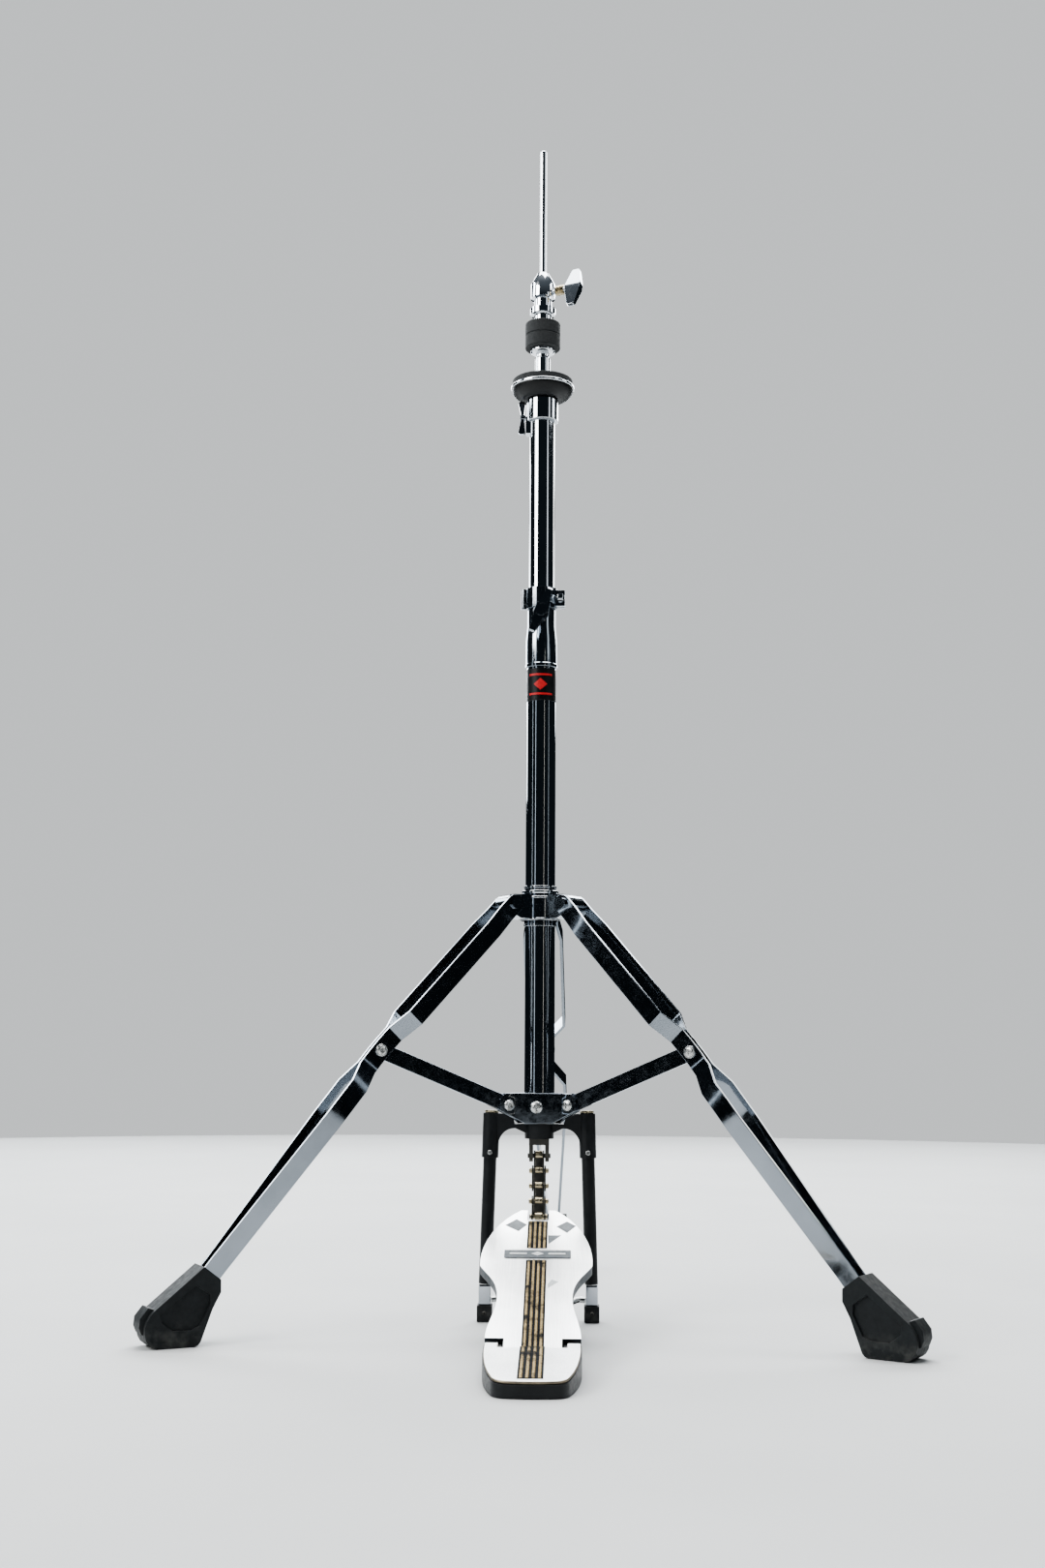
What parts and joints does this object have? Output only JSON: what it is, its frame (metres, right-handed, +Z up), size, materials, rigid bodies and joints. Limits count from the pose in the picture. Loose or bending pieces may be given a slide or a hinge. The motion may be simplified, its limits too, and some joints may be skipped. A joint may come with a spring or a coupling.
{
  "type": "hi-hat stand",
  "caption": "Folding hi-hat cymbal stand with a chain-driven foot pedal, telescoping tube, tilting felt seat and a clutch on its pull rod.",
  "frame": {"origin": "on the floor under the axis of the tube", "axes": "+Z up along the tube, -Y from the tube towards the heel of the pedal, +X to the right of someone facing the pedal's heel end"},
  "size_m": [0.5906, 0.6637, 1.031],
  "materials": {
    "chrome": "polished chrome plate",
    "dark_chrome": "chrome-plated castings and flat bars",
    "steel": "zinc-plated steel",
    "chain_steel": "oiled steel",
    "black_paint": "satin black powder coat",
    "black_plastic": "satin",
    "rubber": "matt moulded rubber",
    "felt": "pressed felt",
    "label": "semi-gloss printed foil",
    "aluminium": "fine brushed and polished",
    "inlay": "ribbed grip inlay"
  },
  "bodies": {
    "stand": {"lower_tube": "chrome", "label_band": "label", "height_clamp": "dark_chrome", "bracket_plate_front": "dark_chrome", "bracket_plate_right": "dark_chrome", "bracket_plate_left": "dark_chrome", "strut_pin_right": "steel", "strut_pin_rear": "steel", "strut_pin_left": "steel", "frame_yoke": "black_paint", "frame_rod_left": "black_paint", "frame_rod_right": "black_paint", "foot_collar_left": "chrome", "foot_collar_right": "chrome", "frame_foot_left": "black_plastic", "frame_foot_right": "black_plastic", "radius_rod_left": "steel", "radius_rod_right": "steel", "heel_base": "black_paint", "heel_plate": "aluminium", "hinge_pin": "steel", "return_spring": "steel"},
    "clamp_bolt": {"clamp_wing_bolt": "chrome"},
    "hub": {"leg_hub": "dark_chrome"},
    "hub_bolt": {"hub_wing_bolt": "chrome"},
    "leg_right": {"leg_right_strip_front": "chrome", "leg_right_strip_back": "chrome", "boot_right": "rubber", "knee_screw_right": "steel"},
    "leg_rear": {"leg_rear_strip_right": "chrome", "leg_rear_strip_left": "chrome", "boot_rear": "rubber", "knee_screw_rear": "steel"},
    "leg_left": {"leg_left_strip_front": "chrome", "leg_left_strip_back": "chrome", "boot_left": "rubber", "knee_screw_left": "steel"},
    "strut_right_bar": {"strut_right": "dark_chrome"},
    "strut_rear_bar": {"strut_rear": "dark_chrome"},
    "strut_left_bar": {"strut_left": "dark_chrome"},
    "upper_column": {"upper_tube": "chrome", "tilter_cap": "chrome"},
    "memory_lock_ring": {"memory_lock": "dark_chrome"},
    "memory_lock_screw": {"memory_lock_bolt": "chrome"},
    "tilter_screw": {"tilter_wing_screw": "chrome"},
    "cymbal_seat": {"seat_cup": "black_plastic", "seat_plate": "chrome", "seat_felt": "felt"},
    "clutch": {"clutch_body": "chrome", "clutch_felt_upper": "felt", "clutch_felt_lower": "felt"},
    "clutch_lower_nut": {"clutch_nut": "chrome"},
    "clutch_screw": {"clutch_wing_screw": "chrome"},
    "pull_rod_set": {"pull_rod": "chrome", "pull_rod_lower": "steel", "pull_yoke": "chain_steel"},
    "chain": {"drive_chain": "chain_steel"},
    "pedal": {"footboard": "aluminium", "traction_strip_rear": "inlay", "traction_strip_front": "inlay"}
  },
  "joints": [
    {"name": "pedal_press", "type": "hinge", "parent": "stand", "child": "pedal", "pos_m": [0, -0.24, 0.013], "axis": [-1, 0, 0], "range_deg": [0, 10.5], "stiffness_Nm_per_rad": 14, "springref_deg": -17.19},
    {"name": "pull_rod_travel", "type": "slide", "parent": "stand", "child": "pull_rod_set", "axis": [0, 0, -1], "range_m": [0, 0.0402], "deforming": ["return_spring"]},
    {"name": "chain_swing", "type": "hinge", "parent": "pull_rod_set", "child": "chain", "pos_m": [0, 0, 0.1322], "axis": [1, 0, 0], "range_deg": [0, 10.8]},
    {"name": "hub_slide", "type": "slide", "parent": "stand", "child": "hub", "axis": [0, 0, 1], "range_m": [0, 0.1119]},
    {"name": "leg_right_fold", "type": "hinge", "parent": "hub", "child": "leg_right", "pos_m": [0.02544, -0.0159, 0.342], "axis": [0.5299, 0.848, 0], "range_deg": [0, 28.8]},
    {"name": "strut_right_fold", "type": "hinge", "parent": "stand", "child": "strut_right_bar", "pos_m": [0.02544, -0.0159, 0.1744], "axis": [-0.5299, -0.848, 0], "range_deg": [0, 48.9]},
    {"name": "leg_rear_fold", "type": "hinge", "parent": "hub", "child": "leg_rear", "pos_m": [0.00105, 0.02998, 0.342], "axis": [-0.9994, 0.0349, 0], "range_deg": [0, 28.8]},
    {"name": "strut_rear_fold", "type": "hinge", "parent": "stand", "child": "strut_rear_bar", "pos_m": [0.00105, 0.02998, 0.1744], "axis": [0.9994, -0.0349, 0], "range_deg": [0, 48.9]},
    {"name": "leg_left_fold", "type": "hinge", "parent": "hub", "child": "leg_left", "pos_m": [-0.02649, -0.01408, 0.342], "axis": [0.4695, -0.8829, 0], "range_deg": [0, 28.8]},
    {"name": "strut_left_fold", "type": "hinge", "parent": "stand", "child": "strut_left_bar", "pos_m": [-0.02649, -0.01408, 0.1744], "axis": [-0.4695, 0.8829, 0], "range_deg": [0, 48.9]},
    {"name": "height_slide", "type": "slide", "parent": "stand", "child": "upper_column", "axis": [0, 0, 1], "range_m": [0, 0.07]},
    {"name": "memory_lock_slide", "type": "slide", "parent": "upper_column", "child": "memory_lock_ring", "axis": [0, 0, 1], "range_m": [0, 0.12]},
    {"name": "memory_lock_screw_turn", "type": "hinge", "parent": "memory_lock_ring", "child": "memory_lock_screw", "pos_m": [0.0166, 0, 0.61055], "axis": [0, -1, 0], "range_deg": [0, 360]},
    {"name": "clamp_bolt_turn", "type": "hinge", "parent": "stand", "child": "clamp_bolt", "pos_m": [0, -0.02, 0.595], "axis": [0, -1, 0], "range_deg": [0, 360]},
    {"name": "hub_bolt_turn", "type": "hinge", "parent": "hub", "child": "hub_bolt", "pos_m": [-0.01696, 0.0106, 0.34], "axis": [-0.848, 0.5299, 0], "range_deg": [0, 360]},
    {"name": "tilter_screw_turn", "type": "hinge", "parent": "upper_column", "child": "tilter_screw", "pos_m": [-0.014, 0, 0.7768], "axis": [-1, 0, 0], "range_deg": [0, 360]},
    {"name": "seat_tilt", "type": "hinge", "parent": "upper_column", "child": "cymbal_seat", "pos_m": [0.012, 0, 0.796], "axis": [0, 1, 0], "range_deg": [0, 3.5]},
    {"name": "clutch_slide", "type": "slide", "parent": "upper_column", "child": "clutch", "axis": [0, 0, 1], "range_m": [0, 0.045]},
    {"name": "clutch_nut_turn", "type": "hinge", "parent": "clutch", "child": "clutch_lower_nut", "pos_m": [0, 0, 0.839], "axis": [0, 0, 1], "range_deg": [0, 360]},
    {"name": "clutch_screw_turn", "type": "hinge", "parent": "clutch", "child": "clutch_screw", "pos_m": [0.01088, -0.00507, 0.894], "axis": [0.9063, -0.4226, 0], "range_deg": [0, 360]}
  ],
  "couplings": [
    {"joint": "pull_rod_travel", "follows": "pedal_press", "m_per_rad": 0.2177},
    {"joint": "chain_swing", "follows": "pedal_press", "ratio": 1.016},
    {"joint": "seat_tilt", "follows": "tilter_screw_turn", "ratio": 0.009722},
    {"joint": "leg_right_fold", "follows": "hub_slide", "rad_per_m": 4.478},
    {"joint": "strut_right_fold", "follows": "hub_slide", "rad_per_m": 7.605},
    {"joint": "leg_rear_fold", "follows": "hub_slide", "rad_per_m": 4.478},
    {"joint": "strut_rear_fold", "follows": "hub_slide", "rad_per_m": 7.605},
    {"joint": "leg_left_fold", "follows": "hub_slide", "rad_per_m": 4.478},
    {"joint": "strut_left_fold", "follows": "hub_slide", "rad_per_m": 7.605}
  ]
}
